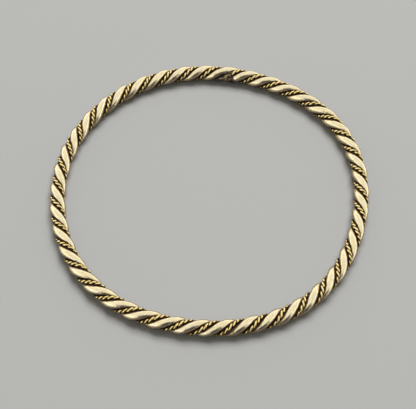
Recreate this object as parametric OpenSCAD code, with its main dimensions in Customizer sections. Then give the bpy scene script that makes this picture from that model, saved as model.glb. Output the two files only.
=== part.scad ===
// Twisted wire bangle. Two thick silver wires are twisted together into one
// strand, a rope of fine brass wire lies in each of the two grooves between
// them, and the strand is bent into a ring and closed by a soldered joint.
// The bangle lies on its side, +Z up, with its middle over the origin.

/* [Ring] */
// Radius of the ring, from its centre to the middle of the strand
ring_r = 34.3; // [26:0.1:45]

/* [Twist] */
// Length of ring that one full turn of the twist takes, to the nearest whole turn
twist_lead = 10.8; // [9:0.1:14]
// Where silver wire A stands round the strand at +X, counted up from the outside
twist_start = 212; // [0:1:359]

/* [Silver wires] */
// Diameter of each silver wire
silver_d = 1.78; // [1.4:0.02:2]

/* [Brass ropes] */
// Diameter of each rope over its two fine wires
rope_d = 0.84; // [0.6:0.02:1]

/* [Joint] */
// Middle of the soldered joint, counted anticlockwise from +X
joint_angle = 84; // [0:1:359]
// Length of groove that is filled with solder instead of brass rope
solder_length = 4.2; // [3:0.1:6]
// Gap between the two cut ends of silver wire B, measured along the ring
cut_gap = 1.5; // [1.4:0.1:2.4]
// How far the twist falls short at the joint, in degrees
joint_slack = 30; // [0:1:60]
// Length of ring over which it falls short
slack_length = 3.6; // [3:0.1:8]

/* [Clearances] */
// Gap between neighbouring pieces
piece_gap = 0.07; // [0.05:0.01:0.12]

/* [Hidden] */

// How the ring departs from a circle.
// Columns: waves round the ring, height as a share of ring_r, angle of a crest
ROUNDNESS = [
    [3, 0.0021, 29],
    [4, 0.0088, 34],
    [5, 0.0040, 20],
];

// How the twist runs ahead of an even one and falls behind it.
// Columns: waves round the ring, height as a share of half a turn, angle of a crest
UNEVENNESS = [
    [1, 0.078, 150],
    [2, 0.040, -40],
    [3, 0.006, -21],
    [4, 0.019, 27],
    [5, 0.019, 35],
    [6, 0.008, 2],
];

// How thick the solder in the groove is.
// Columns: share of the solder's length, diameter as a share of rope_d
SOLDER_LUMPS = [
    [0.00, 0.70],
    [0.08, 0.98],
    [0.22, 1.12],
    [0.36, 1.00],
    [0.50, 1.15],
    [0.64, 1.02],
    [0.78, 1.10],
    [0.92, 0.95],
    [1.00, 0.65],
];

// Diameter of the solder between the cut ends, as a share of silver_d
plug_share = 0.94;
// Diameter of the solder that joins the two lumps: in the cut as a share of
// silver_d, in the groove as a share of rope_d
bridge_in_cut = 0.6;
bridge_in_groove = 0.5;
// Middle of the cut, as a share of the solder's length back from its middle
cut_place = 0.52;
// A rope passes nearest to a silver wire this share of the lead further round
lean_share = 0.06;
// The twist is nowhere tighter than an even one by more than this factor
tightest = 1.2;

silver_sides = 9; // an odd number turns a flat side to the other wire
silver_steps = 12; // sections in each turn of a silver wire
rope_sides = 8;
rope_steps = 10; // sections in each turn of a rope
look_ahead = 0.05; // degrees either side of a point, for its heading

turns = round(2 * PI * ring_r / twist_lead);
lead = 2 * PI * ring_r / turns;
silver_out = (silver_d + piece_gap) / 2; // middle of the strand to middle of a wire
strand_z = silver_out + silver_d / 2; // the lowest wires just touch the surface
ring_degree = 360 / (2 * PI * ring_r); // degrees of ring in a millimetre

// Where each wire stands round the strand, counted up from silver wire A
silver_a_phase = 0;
rope_a_phase = 90;
silver_b_phase = 180;
rope_b_phase = 270;
solder_from = joint_angle - ring_degree * solder_length / 2;
solder_to = joint_angle + ring_degree * solder_length / 2;
cut_angle = joint_angle - ring_degree * solder_length * cut_place;
cut_from = cut_angle - ring_degree * cut_gap / 2;
cut_to = cut_angle + ring_degree * cut_gap / 2;
gap_angle = ring_degree * 2 * piece_gap; // between cut ends, which face each other at a slant

function total(list) = list * [for (x = list) 1];
function unit(v) = v / norm(v);
function waves(table, a) = total([for (row = table) row[1] * cos(row[0] * (a - row[2]))]);
function from_joint(a) = a - joint_angle - 360 * round((a - joint_angle) / 360);

// Share of joint_slack at an angle: it falls quickly through the joint, and
// the rest of the ring makes it up evenly
function slack_share(a) =
    let (d = from_joint(a), width = ring_degree * slack_length)
    d / 360 + 0.5 - 1 / (1 + exp(-4 * d / width));

// Direction of silver wire A round the strand: 0 is outwards, 90 is up
function twist(a) = twist_start + turns * a + 180 * waves(UNEVENNESS, a) + joint_slack * slack_share(a);

function ring_radius(a) = ring_r * (1 + waves(ROUNDNESS, a));
function outwards(a, phase) =
    let (turn = twist(a) + phase)
    [cos(turn) * cos(a), cos(turn) * sin(a), sin(turn)];

// A point on a wire's middle line, out from the middle of the strand
function on_wire(a, phase, out) =
    [ring_radius(a) * cos(a), ring_radius(a) * sin(a), strand_z] + out * outwards(a, phase);

// The round section of a wire, square to its heading
function section(a, phase, out, d, sides) =
    let (
        heading = unit(on_wire(a + look_ahead, phase, out) - on_wire(a - look_ahead, phase, out)),
        away = outwards(a, phase),
        side = unit(away - (away * heading) * heading),
        other = cross(heading, side)
    )
    [for (i = [0:sides - 1])
        on_wire(a, phase, out) + d / 2 * (cos(360 * i / sides) * side + sin(360 * i / sides) * other)];

// How near a wire that lies out in the groove comes to the silver wire beside it
function nearest(out) =
    min([for (along = [0:lead / 200:lead / 4])
        norm([
            silver_out * sin(360 * along * tightest / lead) - out,
            silver_out * cos(360 * along * tightest / lead),
            along
        ])]);

// How far out a wire of diameter d lies in the groove, clear of the silver by
// piece_gap, found by halving the range between low and high
function seat(d, low = 0, high = silver_out + silver_d, tries = 14) =
    let (middle = (low + high) / 2)
    tries == 0 ? middle
    : nearest(middle) < (silver_d + d) / 2 + piece_gap ? seat(d, middle, high, tries - 1)
    : seat(d, low, middle, tries - 1);

rope_out = seat(rope_d);

// Evenly spaced sections of a wire from one angle to another
function wire(from, to, count, phase, out, d, sides) =
    [for (i = [0:count - 1]) section(from + (to - from) * i / (count - 1), phase, out, d, sides)];

// A closed wire has no last section, because it meets its first
function closed_wire(count, phase, out, d, sides) =
    [for (i = [0:count - 1]) section(360 * i / count, phase, out, d, sides)];

// Skin over a row of sections, as a loop or with flat ends
module skin(sections, closed = false) {
    count = len(sections);
    sides = len(sections[0]);
    walls = [
        for (i = [0:count - (closed ? 1 : 2)], j = [0:sides - 1])
            let (
                here = i * sides,
                next = ((i + 1) % count) * sides,
                k = (j + 1) % sides
            )
            each [[here + j, next + j, next + k], [here + j, next + k, here + k]]
    ];
    ends = [
        [for (j = [0:sides - 1]) j],
        [for (j = [sides - 1:-1:0]) (count - 1) * sides + j]
    ];
    polyhedron(points = [for (s = sections) each s], faces = concat(walls, closed ? [] : ends));
}

module silver_wire_a() {
    color([0.93, 0.90, 0.80])
        skin(
            closed_wire(turns * silver_steps, silver_a_phase, silver_out, silver_d, silver_sides),
            closed = true
        );
}

// Cut at the joint, where one of its ends shows
module silver_wire_b() {
    from = cut_to + gap_angle;
    to = cut_from - gap_angle + 360;
    color([0.93, 0.90, 0.80])
        skin(wire(from, to, turns * silver_steps, silver_b_phase, silver_out, silver_d, silver_sides));
}

// Cut at the joint, with solder in its place
module brass_rope_a() {
    from = solder_to + gap_angle;
    to = solder_from - gap_angle + 360;
    color([0.78, 0.60, 0.28])
        skin(wire(from, to, turns * rope_steps, rope_a_phase, rope_out, rope_d, rope_sides));
}

module brass_rope_b() {
    color([0.78, 0.60, 0.28])
        skin(closed_wire(turns * rope_steps, rope_b_phase, rope_out, rope_d, rope_sides), closed = true);
}

// Solder along the groove
module solder_in_groove() {
    skin([for (lump = SOLDER_LUMPS)
        let (d = lump[1] * rope_d)
        section(solder_from + (solder_to - solder_from) * lump[0], rope_a_phase, seat(d), d, rope_sides)]);
}

// Solder between the cut ends of silver wire B
module solder_in_cut() {
    skin(wire(cut_from, cut_to, 3, silver_b_phase, silver_out, plug_share * silver_d, silver_sides));
}

// Solder that joins the one to the other through the cut
module solder_bridge() {
    d = bridge_in_groove * rope_d;
    in_groove = cut_angle + ring_degree * lead * lean_share;
    hull() {
        translate(on_wire(cut_angle, silver_b_phase, silver_out))
            sphere(d = bridge_in_cut * silver_d, $fn = 8);
        translate(on_wire(in_groove, rope_a_phase, seat(d)))
            sphere(d = d, $fn = 8);
    }
}

module solder_joint() {
    color([0.45, 0.38, 0.30]) {
        solder_in_groove();
        solder_in_cut();
        solder_bridge();
    }
}

silver_wire_a();
silver_wire_b();
brass_rope_a();
brass_rope_b();
solder_joint();
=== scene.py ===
# %% [markdown]
# A twisted wire bangle
#
# Four members make the strand of this bangle: two thick silver wires twisted
# round each other, and in each of the two grooves between them a rope of two
# fine brass wires. The strand is bent into a ring, and at the back its ends
# are soldered together.
#
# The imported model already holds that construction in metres, +Z up, with the
# ring lying on z = 0. Its wires have few sides and each rope is one tube. Here
# every wire is drawn again, round and at the same place, and each rope becomes
# the two wires that it is twisted from.

import math

import bmesh
import bpy
import numpy as np
from mathutils import Matrix, Vector, kdtree, noise


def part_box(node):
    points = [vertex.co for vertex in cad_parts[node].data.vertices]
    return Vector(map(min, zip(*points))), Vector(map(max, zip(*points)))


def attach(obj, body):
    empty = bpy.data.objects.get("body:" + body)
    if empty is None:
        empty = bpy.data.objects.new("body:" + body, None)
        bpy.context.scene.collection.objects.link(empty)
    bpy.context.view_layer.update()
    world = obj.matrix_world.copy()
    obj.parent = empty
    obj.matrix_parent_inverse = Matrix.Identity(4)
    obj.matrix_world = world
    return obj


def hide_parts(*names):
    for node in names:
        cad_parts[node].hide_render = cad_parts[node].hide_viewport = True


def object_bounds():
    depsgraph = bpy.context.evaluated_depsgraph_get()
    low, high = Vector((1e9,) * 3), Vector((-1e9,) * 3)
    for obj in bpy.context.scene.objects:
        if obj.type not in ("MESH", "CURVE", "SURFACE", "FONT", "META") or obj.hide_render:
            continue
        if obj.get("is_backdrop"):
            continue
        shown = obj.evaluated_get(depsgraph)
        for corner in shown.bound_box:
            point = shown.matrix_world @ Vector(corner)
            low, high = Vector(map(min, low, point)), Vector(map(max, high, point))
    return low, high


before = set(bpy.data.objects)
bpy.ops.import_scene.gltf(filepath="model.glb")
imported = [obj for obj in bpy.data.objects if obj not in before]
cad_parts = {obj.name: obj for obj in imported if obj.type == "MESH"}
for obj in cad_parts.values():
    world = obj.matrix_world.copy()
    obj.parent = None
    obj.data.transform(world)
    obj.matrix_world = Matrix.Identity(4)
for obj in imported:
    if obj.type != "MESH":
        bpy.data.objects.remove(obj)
cad_low, cad_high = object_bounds()
MM = 0.001
print("CAD box in mm:", [round(side / MM, 2) for side in cad_high - cad_low])

# %% [markdown]
# The strand's middle line
#
# A real bangle of this kind is never a perfect circle, and its twist runs
# tighter in some places than in others. Both are written as a few waves round
# the ring. A function is better than a list of points here, because every
# wire, its surface marks and the solder all ask it for places.

# %% Ring and twist
RING_R = 34.3 * MM
TURNS = 20
TWIST_START = 212
JOINT_ANGLE = 84
# How far the twist falls short at the joint, in degrees, and over what length of ring
JOINT_SLACK = 30
SLACK_LENGTH = 3.6 * MM
# Degrees of ring in a metre
RING_DEGREE = 360 / (2 * math.pi * RING_R)
SLACK_WIDTH = RING_DEGREE * SLACK_LENGTH
STRAND_Z = (cad_low.z + cad_high.z) / 2

# Columns: waves round the ring, height as a share of the ring's radius, angle of a crest
ROUNDNESS = [
    (3, 0.0021, 29),
    (4, 0.0088, 34),
    (5, 0.0040, 20),
]
# Columns: waves round the ring, height as a share of half a turn, angle of a crest
UNEVENNESS = [
    (1, 0.078, 150),
    (2, 0.040, -40),
    (3, 0.006, -21),
    (4, 0.019, 27),
    (5, 0.019, 35),
    (6, 0.008, 2),
]


def waves(table, angle):
    """The sum of a table's waves at each angle."""
    return sum(height * np.cos(np.radians(count * (angle - crest))) for count, height, crest in table)


def past(place, angle):
    """Degrees from a place on the ring to each angle, between -180 and 180."""
    return (angle - place + 180) % 360 - 180


def twist(angle):
    """Direction of silver wire A round the strand, in degrees: 0 is outwards, 90 is up."""
    from_joint = past(JOINT_ANGLE, angle)
    slack = from_joint / 360 + 0.5 - 1 / (1 + np.exp(-4 * from_joint / SLACK_WIDTH))
    return TWIST_START + TURNS * angle + 180 * waves(UNEVENNESS, angle) + JOINT_SLACK * slack


def spoke(angle):
    """Unit vectors from the middle of the ring towards each angle."""
    turn = np.radians(angle)
    return np.stack([np.cos(turn), np.sin(turn), 0 * turn], axis=-1)


def outwards(angle, phase):
    """Unit vectors from the strand's middle towards a wire."""
    turn = np.radians(twist(angle) + phase)[..., None]
    return np.cos(turn) * spoke(angle) + np.sin(turn) * np.array([0, 0, 1])


def on_strand(angle, phase, out):
    """Points of a wire's middle line that lies `out` from the strand's middle line."""
    radius = RING_R * (1 + waves(ROUNDNESS, angle))[..., None]
    return radius * spoke(angle) + out * outwards(angle, phase) + np.array([0, 0, STRAND_Z])


print("Strand is", round(STRAND_Z * 2 / MM, 2), "mm thick, one turn takes",
      round(2 * math.pi * RING_R / TURNS / MM, 2), "mm of ring")

# %% [markdown]
# Where each member lies
#
# The silver wires lie on both sides of the middle line with a hair of room
# between them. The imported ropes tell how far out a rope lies: half the height
# of rope B's box is that distance and half the rope's own thickness.

# %% Places round the strand
SILVER_D = 1.78 * MM
ROPE_D = 0.84 * MM
PIECE_GAP = 0.07 * MM
SILVER_OUT = (SILVER_D + PIECE_GAP) / 2
# Where each member stands round the strand, counted up from silver wire A
SILVER_A = 0
ROPE_A = 90
SILVER_B = 180
ROPE_B = 270

rope_low, rope_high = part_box("brass_rope_b")
ROPE_OUT = (rope_high.z - rope_low.z) / 2 - ROPE_D / 2
SOLDER_LENGTH = 4.2 * MM
SOLDER_FROM = JOINT_ANGLE - RING_DEGREE * SOLDER_LENGTH / 2
SOLDER_TO = JOINT_ANGLE + RING_DEGREE * SOLDER_LENGTH / 2
# Middle of the cut, as a share of the solder's length back from its middle
CUT_PLACE = 0.52
CUT_GAP = 1.5 * MM
CUT_ANGLE = JOINT_ANGLE - RING_DEGREE * SOLDER_LENGTH * CUT_PLACE
CUT_WIDTH = RING_DEGREE * CUT_GAP
END_GAP = RING_DEGREE * 2 * PIECE_GAP
print("Rope lies", round(ROPE_OUT / MM, 3), "mm out")

# %% [markdown]
# The twisted pairs
#
# A rope is two fine wires that wind round the rope's own middle line, half a
# turn apart. They wind the same way as the strand, about five times for each
# of its turns. The winding is not quite even: a hand-turned pair is a little
# longer here and shorter there, so a few short waves are added. To wind round
# a line that bends, a wire needs two directions square to that line at every
# point, and the first of them is kept turned away from the strand's middle.

# %% Paths of the silver and of the fine brass wires
FINE_TURNS = 106
# The fine wires are drawn a hair thin, so that they don't cut into each other
FINE_D = ROPE_D / 2 * 0.98
FINE_OUT = ROPE_D / 4
# Columns: waves round the ring, degrees of winding, angle of a crest
FINE_UNEVENNESS = [
    (7, 16, 40),
    (11, 14, 75),
    (17, 11, 10),
    (29, 8, 55),
    (43, 6, 20),
]
# Degrees either side of a point, for its heading
LOOK_AHEAD = 0.05


def unit(vectors):
    """The vectors at a length of 1."""
    return vectors / np.linalg.norm(vectors, axis=-1, keepdims=True)


def square_frame(path, angle, away):
    """Two unit vectors square to the path's heading, the first as near to `away` as can be."""
    heading = unit(path(angle + LOOK_AHEAD) - path(angle - LOOK_AHEAD))
    side = unit(away - (away * heading).sum(-1, keepdims=True) * heading)
    return side, np.cross(heading, side)


def silver_path(phase):
    """The middle line of a silver wire, as a function of the angle round the ring."""
    def path(angle):
        return on_strand(angle, phase, SILVER_OUT)
    return path


def fine_path(phase, half_turn):
    """The middle line of one of a rope's two fine wires."""
    def rope(angle):
        return on_strand(angle, phase, ROPE_OUT)

    def path(angle):
        side, other = square_frame(rope, angle, outwards(angle, phase))
        turn = half_turn - FINE_TURNS * angle + waves(FINE_UNEVENNESS, angle + phase)
        winding = np.radians(turn)[..., None]
        return rope(angle) + FINE_OUT * (np.cos(winding) * side + np.sin(winding) * other)
    return path


print("A fine wire winds once in", round(2 * math.pi * RING_R / FINE_TURNS / MM, 2), "mm of ring")

# %% [markdown]
# A swept wire
#
# A round wire that follows a path could be spun, extruded ring by ring, or
# swept. Blender's curve with a bevel depth is the plain tool for a sweep, and
# its radius at each point lets the wire be a little thinner in places. The
# curve is then made a mesh, so that a cut end can get a bevelled rim.

# %% Sweep a wire
def sweep(name, points, diameter, sides, closed, thickness):
    """A mesh of a round wire along the points, with 4 sides and 2 more for each bevel step."""
    curve = bpy.data.curves.new(name, "CURVE")
    curve.dimensions = "3D"
    curve.bevel_depth = diameter / 2
    curve.bevel_resolution = sides // 2 - 2
    curve.use_fill_caps = not closed
    spline = curve.splines.new("POLY")
    spline.points.add(len(points) - 1)
    spline.points.foreach_set("co", np.column_stack([points, np.ones(len(points))]).ravel())
    spline.points.foreach_set("radius", thickness)
    spline.use_cyclic_u = closed
    holder = bpy.data.objects.new(name, curve)
    bpy.context.scene.collection.objects.link(holder)
    mesh = bpy.data.meshes.new_from_object(holder.evaluated_get(bpy.context.evaluated_depsgraph_get()))
    bpy.data.objects.remove(holder)
    return mesh


def round_cut_ends(mesh, width):
    """Bevels the rims of a wire's cut ends, as a file would. Only its ends have over four corners."""
    bm = bmesh.new()
    bm.from_mesh(mesh)
    caps = [face for face in bm.faces if len(face.verts) > 4]
    rims = list({edge for cap in caps for edge in cap.edges})
    bmesh.ops.bevel(
        bm, geom=rims, affect="EDGES", offset=width, offset_type="OFFSET",
        segments=3, profile=0.5, material=-1)
    bm.to_mesh(mesh)
    bm.free()


# %% [markdown]
# Measuring a mesh
#
# Tarnish and scratches depend on where a point of the metal lies: how near the
# next wire is, and how far along its own wire. A material can't work that out,
# but a vertex can carry it as an attribute, and the attribute leaves Blender
# with the model. These helpers read a mesh's vertices, find the nearest of many
# points to each of them, and write the answer back onto the mesh.

# %% Measure a mesh
def vertices_of(mesh):
    """The places of a mesh's vertices, a row for each."""
    places = np.empty(len(mesh.vertices) * 3)
    mesh.vertices.foreach_get("co", places)
    return places.reshape(-1, 3)


def tree_of(points):
    """Points sorted for a quick search for the nearest."""
    tree = kdtree.KDTree(len(points))
    for index, point in enumerate(points):
        tree.insert(point, index)
    tree.balance()
    return tree


def nearest(points, tree):
    """Index of the nearest point in the tree, and the distance to it, for each point."""
    found = [tree.find(point)[1:] for point in points]
    return np.array([index for index, _ in found]), np.array([far for _, far in found])


def write_attribute(mesh, name, kind, values):
    """Stores a value or a vector on every vertex for the materials to read."""
    layer = mesh.attributes.new(name, kind, "POINT")
    layer.data.foreach_set("vector" if kind == "FLOAT_VECTOR" else "value", np.ravel(values))


def triangles_of(mesh):
    """How many triangles a mesh's faces make."""
    return sum(len(face.vertices) - 2 for face in mesh.polygons)


# %% [markdown]
# One function for all six wires
#
# Thick or fine, silver or brass, closed or cut, every wire is swept along its
# path and gets the same marks of place. Two numbers say where in the wire's
# round section a vertex is. How far along it is could be one number more, but a
# closed wire would then show a seam where that number jumps back to nothing. So
# the length is wound on a circle as long as the wire, and two numbers give the
# place on that circle.

# %% Draw a wire
# A drawn and twisted wire is up to two of these shares thinner in places
THINNING = 0.012
# How many thin places there are round the ring, and how often they crowd together
THIN_PLACES = 37
THIN_DRIFT = 5
# Bevel on a cut end, as a share of the wire's diameter
RIM = 0.06
wires = {}


def add_piece(name, mesh, node):
    """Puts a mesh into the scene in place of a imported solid."""
    piece = bpy.data.objects.new(name, mesh)
    bpy.context.scene.collection.objects.link(piece)
    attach(piece, "root")
    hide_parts(node)
    return piece


def draw_wire(name, node, path, phase, diameter, rings, sides, start, stop=None):
    """Makes one wire's object. Without a stop it is a closed loop."""
    closed = stop is None
    angle = np.linspace(start, start + 360 if closed else stop, rings, endpoint=not closed)
    points = path(angle)
    drift = 2 * np.cos(np.radians(THIN_DRIFT * angle))
    thickness = 1 - THINNING * (1 + np.cos(np.radians(THIN_PLACES * angle) + drift))
    mesh = sweep(name, points, diameter, sides, closed, thickness)
    if not closed:
        round_cut_ends(mesh, diameter * RIM)

    side, other = square_frame(path, angle, outwards(angle, phase))
    reach = np.concatenate([[0], np.cumsum(np.linalg.norm(np.diff(points, axis=0), axis=1))])
    places = vertices_of(mesh)
    index, _ = nearest(places, tree_of(points))
    from_middle = places - points[index]
    length = reach[-1] + (np.linalg.norm(points[0] - points[-1]) if closed else 0)
    circle_r = length / (2 * math.pi)
    mark = np.column_stack([
        (from_middle * side[index]).sum(1),
        (from_middle * other[index]).sum(1),
        circle_r * np.cos(reach[index] / circle_r),
    ])
    write_attribute(mesh, "wire_place", "FLOAT_VECTOR", mark / MM)
    write_attribute(mesh, "wire_circle", "FLOAT", circle_r * np.sin(reach[index] / circle_r) / MM)
    mesh.shade_smooth()
    wires[name] = {"piece": add_piece(name, mesh, node), "points": points, "radius": diameter / 2}
    print(name, "is", round(length / MM, 1), "mm long,", triangles_of(mesh), "triangles")


# %% [markdown]
# The two silver wires
#
# Wire A is whole. Wire B was cut at the joint: its blunt end shows at the
# back, beside the solder. Both are thick enough to show round outlines, so
# they get 32 sides and 72 rings in each turn of the twist.

# %% Silver wires
SILVER_SIDES = 32
SILVER_RINGS = 72 * TURNS
CUT_FROM = CUT_ANGLE - CUT_WIDTH / 2 - END_GAP
CUT_TO = CUT_ANGLE + CUT_WIDTH / 2 + END_GAP
draw_wire(
    "silver_wire_round_a", "silver_wire_a", silver_path(SILVER_A), SILVER_A,
    SILVER_D, SILVER_RINGS, SILVER_SIDES, start=JOINT_ANGLE)
draw_wire(
    "silver_wire_round_b", "silver_wire_b", silver_path(SILVER_B), SILVER_B,
    SILVER_D, SILVER_RINGS, SILVER_SIDES, start=CUT_TO, stop=CUT_FROM + 360)

# %% [markdown]
# The four fine brass wires
#
# Each packed rope is one tube, which two fine wires now replace. Rope A was
# cut at the joint, and its wires run a little way into the solder, which crept
# in between them while it was hot.

# %% Brass wires
FINE_SIDES = 12
FINE_RINGS = 22 * FINE_TURNS
INTO_SOLDER = RING_DEGREE * 0.4 * MM
for number, half_turn in [("1", 0), ("2", 180)]:
    draw_wire(
        "brass_wire_a" + number, "brass_rope_a", fine_path(ROPE_A, half_turn), ROPE_A,
        FINE_D, FINE_RINGS, FINE_SIDES, start=SOLDER_TO - INTO_SOLDER, stop=SOLDER_FROM + INTO_SOLDER + 360)
    draw_wire(
        "brass_wire_b" + number, "brass_rope_b", fine_path(ROPE_B, half_turn), ROPE_B,
        FINE_D, FINE_RINGS, FINE_SIDES, start=JOINT_ANGLE)

# %% [markdown]
# The solder
#
# Solder runs into a groove as a row of soft lumps with a skin like candle wax.
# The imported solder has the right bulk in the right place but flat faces. It
# could be sculpted by hand. Here a copy of it is merged, given an even skin by
# a voxel remesh and smoothed, and then every vertex is pushed along its normal
# by three sizes of noise. The copy is remeshed in millimetres, because the
# remesh takes no voxel as small as this in metres.

# %% Solder lumps
VOXEL_MM = 0.04
SMOOTHINGS = 14
# How far the whole skin swells before the lumps, to make up for the smoothing
SWELL_MM = 0.05
# Columns: lumps in a millimetre, height in millimetres
LUMPS_MM = [
    (1.3, 0.11),
    (3.4, 0.09),
    (9.0, 0.020),
]


def remeshed(mesh, voxel, smoothings):
    """An even-skinned, smoothed copy of a closed mesh."""
    holder = bpy.data.objects.new("holder", mesh)
    bpy.context.scene.collection.objects.link(holder)
    remesh = holder.modifiers.new("even skin", "REMESH")
    remesh.mode = "VOXEL"
    remesh.voxel_size = voxel
    smooth = holder.modifiers.new("soften", "SMOOTH")
    smooth.factor = 0.5
    smooth.iterations = smoothings
    result = bpy.data.meshes.new_from_object(holder.evaluated_get(bpy.context.evaluated_depsgraph_get()))
    bpy.data.objects.remove(holder)
    return result


bm = bmesh.new()
bm.from_mesh(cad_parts["solder_joint"].data)
bmesh.ops.remove_doubles(bm, verts=bm.verts, dist=0.001 * MM)
bmesh.ops.scale(bm, vec=Vector((1, 1, 1)) / MM, verts=bm.verts)
solder_mesh = bpy.data.meshes.new("solder_lumps")
bm.to_mesh(solder_mesh)
bm.free()
solder_mesh = remeshed(solder_mesh, VOXEL_MM, SMOOTHINGS)

bm = bmesh.new()
bm.from_mesh(solder_mesh)
bm.normal_update()
for vert in bm.verts:
    lump = sum(height * noise.noise(vert.co * fineness) for fineness, height in LUMPS_MM)
    vert.co += vert.normal * (SWELL_MM + lump)
bmesh.ops.scale(bm, vec=Vector((1, 1, 1)) * MM, verts=bm.verts)
bm.to_mesh(solder_mesh)
bm.free()
solder_mesh.shade_smooth()
solder_piece = add_piece("solder_lumps", solder_mesh, "solder_joint")
print("Solder has", triangles_of(solder_mesh), "triangles")

# %% [markdown]
# How near the neighbours are
#
# Tarnish gathers where a cloth cannot reach: deep between the wires. Ambient
# occlusion could find such places while rendering, but it is slow and is lost
# when the model leaves Blender. So each vertex stores its gap to the nearest
# neighbour in millimetres, measured from the other wires' middle lines.
#
# At one place at the front of this bangle the tarnish is also spread out over the
# silver, on the outer side of the rope that faces the viewer: this is painted shade,
# the rope's shadow drawn as tarnish. There the stored gap is made smaller than it is.

# %% Gap to the neighbours
GAP_MOST = 1.0
ROPE_POINTS = 4000
rope_angle = np.linspace(0, 360, ROPE_POINTS)
lines = {name: (wire["points"], wire["radius"]) for name, wire in wires.items()}
for name, phase in [("rope_a", ROPE_A), ("rope_b", ROPE_B)]:
    points = on_strand(rope_angle, phase, ROPE_OUT)
    if phase == ROPE_A:
        points = points[np.abs(past(JOINT_ANGLE, rope_angle)) > SOLDER_TO - JOINT_ANGLE]
    lines[name] = (points, ROPE_D / 2)
lines["solder"] = (vertices_of(solder_mesh), 0)

# A share below 1 lets the tarnish from that neighbour reach further
SILVER_BY_BRASS = {"silver_wire_round_a": 0.6, "silver_wire_round_b": 0.6}
NEIGHBOURS = {
    "silver_wire_round_a": {"silver_wire_round_b": 1, "rope_a": 1, "rope_b": 1, "solder": 1},
    "silver_wire_round_b": {"silver_wire_round_a": 1, "rope_a": 1, "rope_b": 1},
    "brass_wire_a1": {"brass_wire_a2": 1, "solder": 1, **SILVER_BY_BRASS},
    "brass_wire_a2": {"brass_wire_a1": 1, "solder": 1, **SILVER_BY_BRASS},
    "brass_wire_b1": {"brass_wire_b2": 1, **SILVER_BY_BRASS},
    "brass_wire_b2": {"brass_wire_b1": 1, **SILVER_BY_BRASS},
}
# The same kind of share for the brass that faces out of the groove
CREST_SHARE = 0.8
# The painted shade at the front: its middle on the ring, degrees from there to its end, the share in it,
# its soft edge
FRONT_SHADE_AT = 279
FRONT_SHADE_END = 12
FRONT_SHADE_SHARE = 0.58
FRONT_SHADE_EDGE = 0.2 * MM


def front_shade(places, beside):
    """A share for each place: below 1 in the painted shade at the front, further out than the rope's points
    beside it.
    """
    angle = np.degrees(np.arctan2(places[:, 1], places[:, 0]))
    along = np.clip(2 - 2 * np.abs(past(FRONT_SHADE_AT, angle)) / FRONT_SHADE_END, 0, 1)
    further_out = np.linalg.norm(places[:, :2], axis=1) - np.linalg.norm(beside[:, :2], axis=1)
    return 1 - (1 - FRONT_SHADE_SHARE) * np.clip(further_out / FRONT_SHADE_EDGE, 0, 1) * along


middle = tree_of(on_strand(rope_angle, 0, 0))
for name, neighbours in NEIGHBOURS.items():
    mesh = wires[name]["piece"].data
    places = vertices_of(mesh)
    gap = np.full(len(places), GAP_MOST * MM)
    for other, share in neighbours.items():
        points, radius = lines[other]
        index, far = nearest(places, tree_of(points))
        # Painted shade: at the front the gap on the rope's outer, viewer-facing side is shrunk, so the
        # tarnish darkens where the rope's shadow falls
        if name.startswith("silver") and other.startswith("rope"):
            share = share * front_shade(places, points[index])
        gap = np.minimum(gap, (far - radius) * share)
    if name.startswith("brass"):
        _, depth = nearest(places, middle)
        gap = np.minimum(gap, np.maximum(0, depth - ROPE_OUT) * CREST_SHARE)
    write_attribute(mesh, "gap", "FLOAT", gap / MM)
    print(name, "gap from", round(gap.min() / MM, 3), "mm")

# %% [markdown]
# How near the solder is
#
# Hot solder also wets the metal beside it and leaves a thin crust there. On the
# bangle it climbed the flank of silver wire A, so that wire stores a second
# value, its distance from the row of solder in the groove.

# %% Distance from the solder
CRUST_MOST = 5.0
# How far the crust climbs wire A at the two ends of the solder, in degrees round the strand
CLIMB = (-14, 30)
ROW_POINTS = 60
row_angle = np.linspace(SOLDER_FROM, SOLDER_TO, ROW_POINTS)
solder_row = tree_of(on_strand(row_angle, ROPE_A - np.linspace(*CLIMB, ROW_POINTS), ROPE_OUT))
for name in ("silver_wire_round_a", "silver_wire_round_b"):
    mesh = wires[name]["piece"].data
    from_solder = np.full(len(mesh.vertices), CRUST_MOST)
    if name.endswith("a"):
        _, far = nearest(vertices_of(mesh), solder_row)
        from_solder = np.minimum(CRUST_MOST, (far - ROPE_D / 2) / MM)
    write_attribute(mesh, "from_solder", "FLOAT", from_solder)
    print(name, "solder from", round(from_solder.min(), 3), "mm")

# %% [markdown]
# Helpers for nodes
#
# A material is a net of small nodes, and written out in full each of them takes
# three or four lines. These helpers place a node with its values, do a sum, and
# start a group, so that the materials below read as what they do.

# %% Node helpers
def place_node(nodes, kind, inputs=None, **settings):
    """Adds a node, sets its properties and the values of its inputs."""
    node = nodes.new(kind)
    for key, value in settings.items():
        setattr(node, key, value)
    for socket, value in (inputs or {}).items():
        node.inputs[socket].default_value = value
    return node


def calculate(tree, operation, first, second=None, third=None):
    """A Math node whose inputs are sockets or numbers. Returns its output."""
    node = tree.nodes.new("ShaderNodeMath")
    node.operation = operation
    for socket, value in zip(node.inputs, (first, second, third)):
        if isinstance(value, bpy.types.NodeSocket):
            tree.links.new(value, socket)
        elif value is not None:
            socket.default_value = value
    return node.outputs[0]


def rising(tree, value, start, rise):
    """A number that is start where the value is 0, and more by rise where it is 1."""
    return calculate(tree, "MULTIPLY_ADD", value, rise, start)


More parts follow.
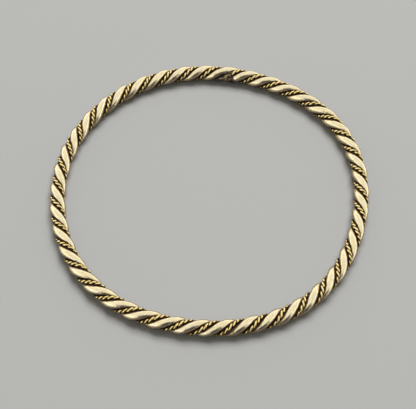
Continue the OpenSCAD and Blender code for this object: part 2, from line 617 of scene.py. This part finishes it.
def new_group(name, inputs, outputs):
    """A node group. Its inputs are numbers, its outputs numbers or, where named Colour, a colour."""
    group = bpy.data.node_groups.new(name, "ShaderNodeTree")
    for socket, value in inputs.items():
        made = group.interface.new_socket(socket, in_out="INPUT", socket_type="NodeSocketFloat")
        made.default_value = value
    for socket in outputs:
        kind = "NodeSocketColor" if socket == "Colour" else "NodeSocketFloat"
        group.interface.new_socket(socket, in_out="OUTPUT", socket_type=kind)
    return group, group.nodes.new("NodeGroupInput"), group.nodes.new("NodeGroupOutput")


# %% [markdown]
# Helpers for colours
#
# Real metal never has one colour. It is a clean colour that is toned, darkened
# in patches and covered in places by another, and each of these is one helper:
# a ramp, a product, a shade and a blend.

# %% Colour helpers
def colour_ramp(tree, value, stops):
    """Colours a value. Stops are rows of position and colour."""
    ramp = tree.nodes.new("ShaderNodeValToRGB")
    elements = ramp.color_ramp.elements
    for position, colour in stops[2:]:
        elements.new(position)
    for element, (position, colour) in zip(elements, stops):
        element.position = position
    for element, (position, colour) in zip(elements, stops):
        element.color = (*colour, 1)
    tree.links.new(value, ramp.inputs["Fac"])
    return ramp.outputs["Color"]


def multiplied(tree, first, second):
    """The product of two colours, or of a colour and a number."""
    mix = place_node(tree.nodes, "ShaderNodeMix", {"Factor": 1.0}, data_type="RGBA", blend_type="MULTIPLY")
    tree.links.new(first, mix.inputs["A"])
    tree.links.new(second, mix.inputs["B"])
    return mix.outputs["Result"]


def shaded(tree, colour, value, low, high):
    """A colour multiplied by low where the value is 0 and by high where it is 1."""
    grey = place_node(tree.nodes, "ShaderNodeMapRange", {"To Min": low, "To Max": high})
    tree.links.new(value, grey.inputs["Value"])
    return multiplied(tree, colour, grey.outputs["Result"])


def blended(tree, mask, first, second):
    """The first colour where the mask is 0, the second where it is 1."""
    mix = place_node(tree.nodes, "ShaderNodeMix", data_type="RGBA")
    tree.links.new(mask, mix.inputs["Factor"])
    tree.links.new(first, mix.inputs["A"])
    tree.links.new(second, mix.inputs["B"])
    return mix.outputs["Result"]


# %% [markdown]
# Tarnish in the crevices
#
# Tarnish and the marks of the drawplate are on silver and brass alike, and the
# crust of the solder is on the solder and on the silver beside it. So each is a
# node group with named inputs, and each material places it with its own values.
# A group gives out only masks, heights and colours. The shader stays in the
# material.
#
# The first group turns the stored gap into a mask: solid close to a neighbour,
# fading to nothing at its reach. Real tarnish has no even edge, so noise makes
# that reach longer and shorter in patches.

# %% Group: tarnish in the crevices
tarnish_group, given, result = new_group(
    "Crevice tarnish",
    {"Gap mm": 1.0, "Reach mm": 0.3, "Solid to": 0.3, "Patchiness": 0.5, "Patches per metre": 900},
    ["Tarnish", "Patches"])
place = place_node(tarnish_group.nodes, "ShaderNodeTexCoord")
patches = place_node(tarnish_group.nodes, "ShaderNodeTexNoise", {"Detail": 3, "Roughness": 0.6})
tarnish_group.links.new(place.outputs["Object"], patches.inputs["Vector"])
tarnish_group.links.new(given.outputs["Patches per metre"], patches.inputs["Scale"])
# From noise of 0 to 1 to a swing of -1 to 1, and then to a factor about 1
swing = rising(tarnish_group, patches.outputs["Fac"], start=-1.0, rise=2.0)
factor = rising(tarnish_group, swing, start=1.0, rise=given.outputs["Patchiness"])
reach = calculate(tarnish_group, "MULTIPLY", factor, given.outputs["Reach mm"])
share = calculate(tarnish_group, "DIVIDE", given.outputs["Gap mm"], reach)
fade = place_node(
    tarnish_group.nodes, "ShaderNodeMapRange", {"From Max": 1, "To Min": 1, "To Max": 0},
    interpolation_type="SMOOTHSTEP")
tarnish_group.links.new(share, fade.inputs["Value"])
tarnish_group.links.new(given.outputs["Solid to"], fade.inputs["From Min"])
tarnish_group.links.new(fade.outputs["Result"], result.inputs["Tarnish"])
tarnish_group.links.new(patches.outputs["Fac"], result.inputs["Patches"])
print(tarnish_group.name, "has", len(tarnish_group.nodes), "nodes")

# %% [markdown]
# Lines of the drawplate, and knocks
#
# Wire is made by pulling it through a plate, which leaves fine lines along it,
# and years of wear add soft knocks. Both are noise on the stored marks of
# place. For the lines the place is squeezed along the wire, so that each grain
# of the noise becomes a long streak. The noise has four dimensions, three for
# the mark and one for the circle, so that a closed wire has no seam.

# %% Group: lines of the drawplate and small knocks
grain_group, given, result = new_group(
    "Drawn grain", {"Lines per mm": 8, "Length mm": 1.5}, ["Lines", "Knocks"])
place = place_node(grain_group.nodes, "ShaderNodeAttribute", attribute_name="wire_place")
circle = place_node(grain_group.nodes, "ShaderNodeAttribute", attribute_name="wire_circle")
stretch = place_node(grain_group.nodes, "ShaderNodeCombineXYZ")
grain_group.links.new(given.outputs["Lines per mm"], stretch.inputs["X"])
grain_group.links.new(given.outputs["Lines per mm"], stretch.inputs["Y"])
per_length = calculate(grain_group, "DIVIDE", 1.0, given.outputs["Length mm"])
grain_group.links.new(per_length, stretch.inputs["Z"])
stretched = place_node(grain_group.nodes, "ShaderNodeVectorMath", operation="MULTIPLY")
grain_group.links.new(place.outputs["Vector"], stretched.inputs[0])
grain_group.links.new(stretch.outputs["Vector"], stretched.inputs[1])
along = calculate(grain_group, "MULTIPLY", circle.outputs["Fac"], per_length)
lines_noise = place_node(
    grain_group.nodes, "ShaderNodeTexNoise", {"Scale": 1, "Detail": 4, "Roughness": 0.65},
    noise_dimensions="4D")
grain_group.links.new(stretched.outputs["Vector"], lines_noise.inputs["Vector"])
grain_group.links.new(along, lines_noise.inputs["W"])
knocks = place_node(
    grain_group.nodes, "ShaderNodeTexNoise", {"Scale": 1.4, "Detail": 2, "Roughness": 0.5},
    noise_dimensions="4D")
grain_group.links.new(place.outputs["Vector"], knocks.inputs["Vector"])
grain_group.links.new(circle.outputs["Fac"], knocks.inputs["W"])
grain_group.links.new(lines_noise.outputs["Fac"], result.inputs["Lines"])
grain_group.links.new(knocks.outputs["Fac"], result.inputs["Knocks"])
print(grain_group.name, "has", len(grain_group.nodes), "nodes")

# %% [markdown]
# Crust of the solder
#
# Flux and heat leave solder blotchy and gritty. A ramp over a coarse noise
# gives the blotches their colours, from soot to a spot of brass, and a fine
# noise darkens and lightens them. The grit comes out as well, for the bumps.

# %% Group: crust of the solder
crust_group, given, result = new_group(
    "Solder crust", {"Blotches per metre": 1300, "Grit per metre": 9000}, ["Colour", "Grit"])
place = place_node(crust_group.nodes, "ShaderNodeTexCoord")
blotches = place_node(crust_group.nodes, "ShaderNodeTexNoise", {"Detail": 4, "Roughness": 0.6})
grit = place_node(crust_group.nodes, "ShaderNodeTexNoise", {"Detail": 3, "Roughness": 0.7})
for texture, scale in ((blotches, "Blotches per metre"), (grit, "Grit per metre")):
    crust_group.links.new(place.outputs["Object"], texture.inputs["Vector"])
    crust_group.links.new(given.outputs[scale], texture.inputs["Scale"])
colour = colour_ramp(crust_group, blotches.outputs["Fac"], [
    (0.34, (0.022, 0.014, 0.010)),
    (0.46, (0.13, 0.092, 0.068)),
    (0.56, (0.24, 0.185, 0.165)),
    (0.64, (0.58, 0.40, 0.15)),
])
colour = shaded(crust_group, colour, grit.outputs["Fac"], low=0.6, high=1.4)
crust_group.links.new(colour, result.inputs["Colour"])
crust_group.links.new(grit.outputs["Fac"], result.inputs["Grit"])
print(crust_group.name, "has", len(crust_group.nodes), "nodes")

# %% [markdown]
# Starting a material
#
# Every material here begins as Blender makes it, with one Principled shader.
# Two more helpers place a group in it, where an input may be the name of an
# attribute, and put a bump on top of another.

# %% Material helpers
def new_material(name):
    """A material, its node tree and its Principled shader."""
    material = bpy.data.materials.new(name)
    material.use_nodes = True
    tree = material.node_tree
    return material, tree, tree.nodes["Principled BSDF"]


def place_group(tree, group, inputs):
    """Places a group. An input is a number, or the name of an attribute that is read there."""
    node = tree.nodes.new("ShaderNodeGroup")
    node.node_tree = group
    for socket, value in inputs.items():
        if isinstance(value, str):
            attribute = place_node(tree.nodes, "ShaderNodeAttribute", attribute_name=value)
            tree.links.new(attribute.outputs["Fac"], node.inputs[socket])
        else:
            node.inputs[socket].default_value = value
    return node


def bumped(tree, height, strength, distance, under=None):
    """A Bump node, on top of the normal of another one if it is given."""
    bump = place_node(tree.nodes, "ShaderNodeBump", {"Strength": strength, "Distance": distance})
    tree.links.new(height, bump.inputs["Height"])
    if under is not None:
        tree.links.new(under, bump.inputs["Normal"])
    return bump.outputs["Normal"]


# %% [markdown]
# Silver
#
# The silver has a satin polish and a warm, creamy tone. It goes yellow, brown
# and then nearly black towards the grooves. A ramp turns the tarnish mask into
# those colours, and the same mask makes the surface rougher and less of a
# metal, so that the tarnish shows the light that falls on it and not only what
# it mirrors. Fine lines run along the wire, and soft knocks from years of wear
# bend its reflections and tone them a little warmer and cooler.

# %% Silver material
silver, tree, shader = new_material("silver_satin")
tarnish = place_group(
    tree, tarnish_group,
    {"Gap mm": "gap", "Reach mm": 0.50, "Solid to": 0.50, "Patchiness": 0.50, "Patches per metre": 1100})
crusted = place_group(
    tree, tarnish_group,
    {"Gap mm": "from_solder", "Reach mm": 0.80, "Solid to": 0.70, "Patchiness": 0.60,
     "Patches per metre": 1900})
crust = place_group(tree, crust_group, {"Blotches per metre": 1300, "Grit per metre": 9000})
grain = place_group(tree, grain_group, {"Lines per mm": 7, "Length mm": 1.2})
colour = colour_ramp(tree, tarnish.outputs["Tarnish"], [
    (0.0, (0.98, 0.89, 0.655)),
    (0.35, (0.56, 0.41, 0.22)),
    (0.70, (0.17, 0.104, 0.052)),
    (1.0, (0.050, 0.031, 0.016)),
])
colour = shaded(tree, colour, grain.outputs["Lines"], low=0.45, high=1.49)
toning = colour_ramp(tree, grain.outputs["Knocks"], [
    (0.36, (1.0, 0.97, 0.84)),
    (0.50, (1.0, 0.99, 0.98)),
    (0.64, (0.93, 0.93, 1.0)),
])
colour = multiplied(tree, colour, toning)
colour = blended(tree, crusted.outputs["Tarnish"], colour, crust.outputs["Colour"])
tree.links.new(colour, shader.inputs["Base Color"])
rough = rising(tree, grain.outputs["Lines"], start=0.13, rise=0.24)
rough = rising(tree, tarnish.outputs["Tarnish"], start=rough, rise=0.3)
rough = rising(tree, crusted.outputs["Tarnish"], start=rough, rise=0.15)
tree.links.new(rough, shader.inputs["Roughness"])
metal = rising(tree, tarnish.outputs["Tarnish"], start=1.0, rise=-0.95)
tree.links.new(metal, shader.inputs["Metallic"])
soft = bumped(tree, grain.outputs["Knocks"], strength=0.8, distance=0.09 * MM)
lined = bumped(tree, grain.outputs["Lines"], strength=0.6, distance=0.012 * MM, under=soft)
height = calculate(tree, "MULTIPLY", crust.outputs["Grit"], crusted.outputs["Tarnish"])
gritty = bumped(tree, height, strength=0.8, distance=0.06 * MM, under=lined)
tree.links.new(gritty, shader.inputs["Normal"])
print(silver.name, "has", len(tree.nodes), "nodes")

# %% [markdown]
# Brass
#
# The fine brass is golden and bright where a finger rubs it, and brown-black
# between the turns, where a cloth never reaches.

# %% Brass material
brass, tree, shader = new_material("brass_drawn")
tarnish = place_group(
    tree, tarnish_group,
    {"Gap mm": "gap", "Reach mm": 0.195, "Solid to": 0.45, "Patchiness": 0.45, "Patches per metre": 1500})
grain = place_group(tree, grain_group, {"Lines per mm": 12, "Length mm": 0.5})
colour = colour_ramp(tree, tarnish.outputs["Tarnish"], [
    (0.0, (1.0, 0.80, 0.39)),
    (0.22, (0.97, 0.55, 0.16)),
    (0.55, (0.34, 0.175, 0.045)),
    (0.80, (0.08, 0.042, 0.015)),
    (1.0, (0.020, 0.012, 0.006)),
])
colour = shaded(tree, colour, tarnish.outputs["Patches"], low=0.58, high=1.52)
tree.links.new(colour, shader.inputs["Base Color"])
rough = rising(tree, grain.outputs["Lines"], start=0.12, rise=0.14)
rough = rising(tree, tarnish.outputs["Tarnish"], start=rough, rise=0.3)
tree.links.new(rough, shader.inputs["Roughness"])
metal = rising(tree, tarnish.outputs["Tarnish"], start=1.0, rise=-0.6)
tree.links.new(metal, shader.inputs["Metallic"])
lined = bumped(tree, grain.outputs["Lines"], strength=0.4, distance=0.006 * MM)
tree.links.new(lined, shader.inputs["Normal"])
print(brass.name, "has", len(tree.nodes), "nodes")

# %% [markdown]
# Solder
#
# The solder was never polished. Heat and flux left it brown-grey with a hint of
# purple, and in a few spots a golden brown where the brass shows through.

# %% Solder material
solder, tree, shader = new_material("solder_oxidised")
crust = place_group(tree, crust_group, {"Blotches per metre": 1300, "Grit per metre": 9000})
tree.links.new(crust.outputs["Colour"], shader.inputs["Base Color"])
rough = rising(tree, crust.outputs["Grit"], start=0.26, rise=0.30)
tree.links.new(rough, shader.inputs["Roughness"])
shader.inputs["Metallic"].default_value = 0.7
gritty = bumped(tree, crust.outputs["Grit"], strength=0.6, distance=0.02 * MM)
tree.links.new(gritty, shader.inputs["Normal"])
print(solder.name, "has", len(tree.nodes), "nodes")

# %% [markdown]
# The metals on the pieces
#
# A wire's name starts with its metal, so the name picks the material.

# %% Give every piece its metal
METALS = {"silver": silver, "brass": brass, "solder": solder}
for name, wire in wires.items():
    slot = name.split("_")[0]
    wire["piece"].data.materials.append(METALS[slot])
solder_mesh.materials.append(solder)
print("Materials:", {name: material.name for name, material in METALS.items()})

# %% [markdown]
# The surface that the bangle lies on
#
# A plain pale matt board. It is one big square, so that its edge stays out of
# sight from low down, and it is stage, not part of the object. A photographer
# lays dark card round polished metal, just out of view, because a shape shows
# best by its dark edges. Here the board does that job itself: the metal's own
# reflections see it a good deal darker than the camera does, and with a sheen
# that gives back the bright room at a flat angle.

# %% Floor
BOARD_SEEN = (0.335, 0.341, 0.352)
BOARD_IN_METAL = (0.090, 0.078, 0.074)
# From the middle of the board to its edge, in metres
BOARD_REACH = 2.0
floor_mesh = bpy.data.meshes.new("floor")
bm = bmesh.new()
bmesh.ops.create_grid(bm, x_segments=1, y_segments=1, size=BOARD_REACH)
bm.to_mesh(floor_mesh)
bm.free()
floor = bpy.data.objects.new("floor", floor_mesh)
bpy.context.scene.collection.objects.link(floor)
floor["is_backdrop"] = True
board, tree, shader = new_material("board_pale")
ray = place_node(tree.nodes, "ShaderNodeLightPath")
board_tone = place_node(
    tree.nodes, "ShaderNodeMix", {"A": (*BOARD_SEEN, 1), "B": (*BOARD_IN_METAL, 1)}, data_type="RGBA")
tree.links.new(ray.outputs["Is Glossy Ray"], board_tone.inputs["Factor"])
tree.links.new(board_tone.outputs["Result"], shader.inputs["Base Color"])
sheen = rising(tree, ray.outputs["Is Glossy Ray"], start=0.2, rise=0.8)
rough = rising(tree, ray.outputs["Is Glossy Ray"], start=0.75, rise=-0.45)
tree.links.new(sheen, shader.inputs["Specular IOR Level"])
tree.links.new(rough, shader.inputs["Roughness"])
floor_mesh.materials.append(board)
print("Board is", 2 * BOARD_REACH, "m wide")

# %% [markdown]
# Light
#
# Matt things need a lamp, but polished metal shows what stands round it. So the
# light is made in two steps: here a lamp for the board, the shadow and the dull
# tarnish, and after it a room for the metal's reflections.
#
# A large softbox hangs high behind the bangle, a little to the right, and
# throws the soft shadow towards the viewer. Its own reflection would be a hard
# white streak on every wire, so the metal doesn't see it.

# %% Softbox
SOFTBOX_AT = Vector((0.30, 1.02, 1.86))
key_data = bpy.data.lights.new("softbox", "AREA")
key_data.shape = "RECTANGLE"
key_data.size = 1.50
key_data.size_y = 1.20
key_data.energy = 61
key_data.color = (1.0, 0.985, 0.95)
key = bpy.data.objects.new("softbox", key_data)
key.location = SOFTBOX_AT
key.rotation_euler = (-SOFTBOX_AT).to_track_quat("-Z", "Y").to_euler()
key.visible_glossy = False
bpy.context.scene.collection.objects.link(key)
print("Softbox hangs", round(SOFTBOX_AT.length, 2), "m away")

# %% [markdown]
# What the metal mirrors
#
# The reflections come from the room. A picture of a studio would be a file to
# carry along, and a gradient does as well here: warm white all round, a little
# brighter towards the horizon, and one dark shape in front, where the
# photographer stands. It draws the dark band along the foot of each silver wire,
# and its soft edge lets that band fade upwards.
#
# Matt surfaces get less of the room than the metal mirrors, so that the shadow
# stays dark. The camera sees none of it: where a low view looks past the board,
# it meets a plain pale backdrop.

# %% Room
# Share of the room's brightness that lights matt surfaces
ROOM_AS_FILL = 0.45
# Towards the middle of the dark shape, and the cosines of the angles from there to
# the end of its full dark and to its outer edge
DARK_IN_FRONT = (0.16, -0.93, 0.33)
DARK_CORE = 0.95
DARK_EDGE = 0.66
DARKEST = 0.04
# Heights, as the sine of the angle above the horizon, and the brightness at each
LOW_DOWN = 0.05
HIGH_UP = 0.80
BRIGHT_LOW = 1.35
BRIGHT_HIGH = 0.90
ROOM_COLOUR = (1.0, 0.965, 0.84)
DARK_COLOUR = (1.0, 0.92, 0.88)
BACKDROP = (0.47, 0.47, 0.47)
room = bpy.data.worlds.new("room")
room.use_nodes = True
nodes, links = room.node_tree.nodes, room.node_tree.links
direction = place_node(nodes, "ShaderNodeTexCoord")
towards = place_node(nodes, "ShaderNodeVectorMath", {1: DARK_IN_FRONT}, operation="DOT_PRODUCT")
height = place_node(nodes, "ShaderNodeSeparateXYZ")
links.new(direction.outputs["Generated"], towards.inputs[0])
links.new(direction.outputs["Generated"], height.inputs["Vector"])
past_dark = place_node(
    nodes, "ShaderNodeMapRange",
    {"From Min": DARK_CORE, "From Max": DARK_EDGE, "To Min": DARKEST, "To Max": 1.0},
    interpolation_type="SMOOTHSTEP")
by_height = place_node(
    nodes, "ShaderNodeMapRange",
    {"From Min": LOW_DOWN, "From Max": HIGH_UP, "To Min": BRIGHT_LOW, "To Max": BRIGHT_HIGH},
    interpolation_type="SMOOTHSTEP")
links.new(towards.outputs["Value"], past_dark.inputs["Value"])
links.new(height.outputs["Z"], by_height.inputs["Value"])
brightness = calculate(
    room.node_tree, "MULTIPLY", past_dark.outputs["Result"], by_height.outputs["Result"])
ray = place_node(nodes, "ShaderNodeLightPath")
fill = rising(room.node_tree, ray.outputs["Is Diffuse Ray"], start=1.0, rise=ROOM_AS_FILL - 1)
brightness = calculate(room.node_tree, "MULTIPLY", brightness, fill)
links.new(brightness, nodes["Background"].inputs["Strength"])
room_tone = place_node(
    nodes, "ShaderNodeMix", {"A": (*DARK_COLOUR, 1), "B": (*ROOM_COLOUR, 1)}, data_type="RGBA")
links.new(past_dark.outputs["Result"], room_tone.inputs["Factor"])
links.new(room_tone.outputs["Result"], nodes["Background"].inputs["Color"])
backdrop = place_node(nodes, "ShaderNodeBackground", {"Color": (*BACKDROP, 1)})
either = place_node(nodes, "ShaderNodeMixShader")
links.new(ray.outputs["Is Camera Ray"], either.inputs["Fac"])
links.new(nodes["Background"].outputs["Background"], either.inputs[1])
links.new(backdrop.outputs["Background"], either.inputs[2])
links.new(either.outputs["Shader"], nodes["World Output"].inputs["Surface"])
bpy.context.scene.world = room
bpy.context.scene.view_settings.view_transform = "Standard"
print("Room is lit from", BRIGHT_LOW, "at the horizon to", BRIGHT_HIGH, "overhead")

# %% [markdown]
# Camera
#
# The photograph looks down at the ring from the front, close enough for its
# near side to look thicker than its far side. The place and the lens were
# fitted to the outline of the ring and to the crests of its twist.

# %% Camera
CAMERA_AT = Vector((-0.633, -128.587, 198.514)) * MM
CAMERA_YAW = math.radians(0.126)
CAMERA_PITCH = math.radians(57.571)
CAMERA_ROLL = math.radians(-0.105)
camera_data = bpy.data.cameras.new("camera")
camera_data.sensor_width = 36
camera_data.lens = 90.47
camera_data.clip_start = 0.01
camera_data.clip_end = 10
camera = bpy.data.objects.new("camera", camera_data)
bpy.context.scene.collection.objects.link(camera)
camera.location = CAMERA_AT
turned = (
    Matrix.Rotation(-CAMERA_YAW, 4, "Z")
    @ Matrix.Rotation(math.pi / 2 - CAMERA_PITCH, 4, "X")
    @ Matrix.Rotation(CAMERA_ROLL, 4, "Z")
)
camera.rotation_euler = turned.to_euler()
bpy.context.scene.camera = camera
print("Camera stands", round(CAMERA_AT.length / MM), "mm away")

# %% [markdown]
# Sizes before and after
#
# The drawn pieces must keep the imported model's size, so both boxes are printed.

# %% Finish
low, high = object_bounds()
sizes = {"cad": [list(cad_low), list(cad_high)], "visual": [list(low), list(high)]}
for model, box in sizes.items():
    print(model, "box in mm:", [[round(v / MM, 3) for v in corner] for corner in box])
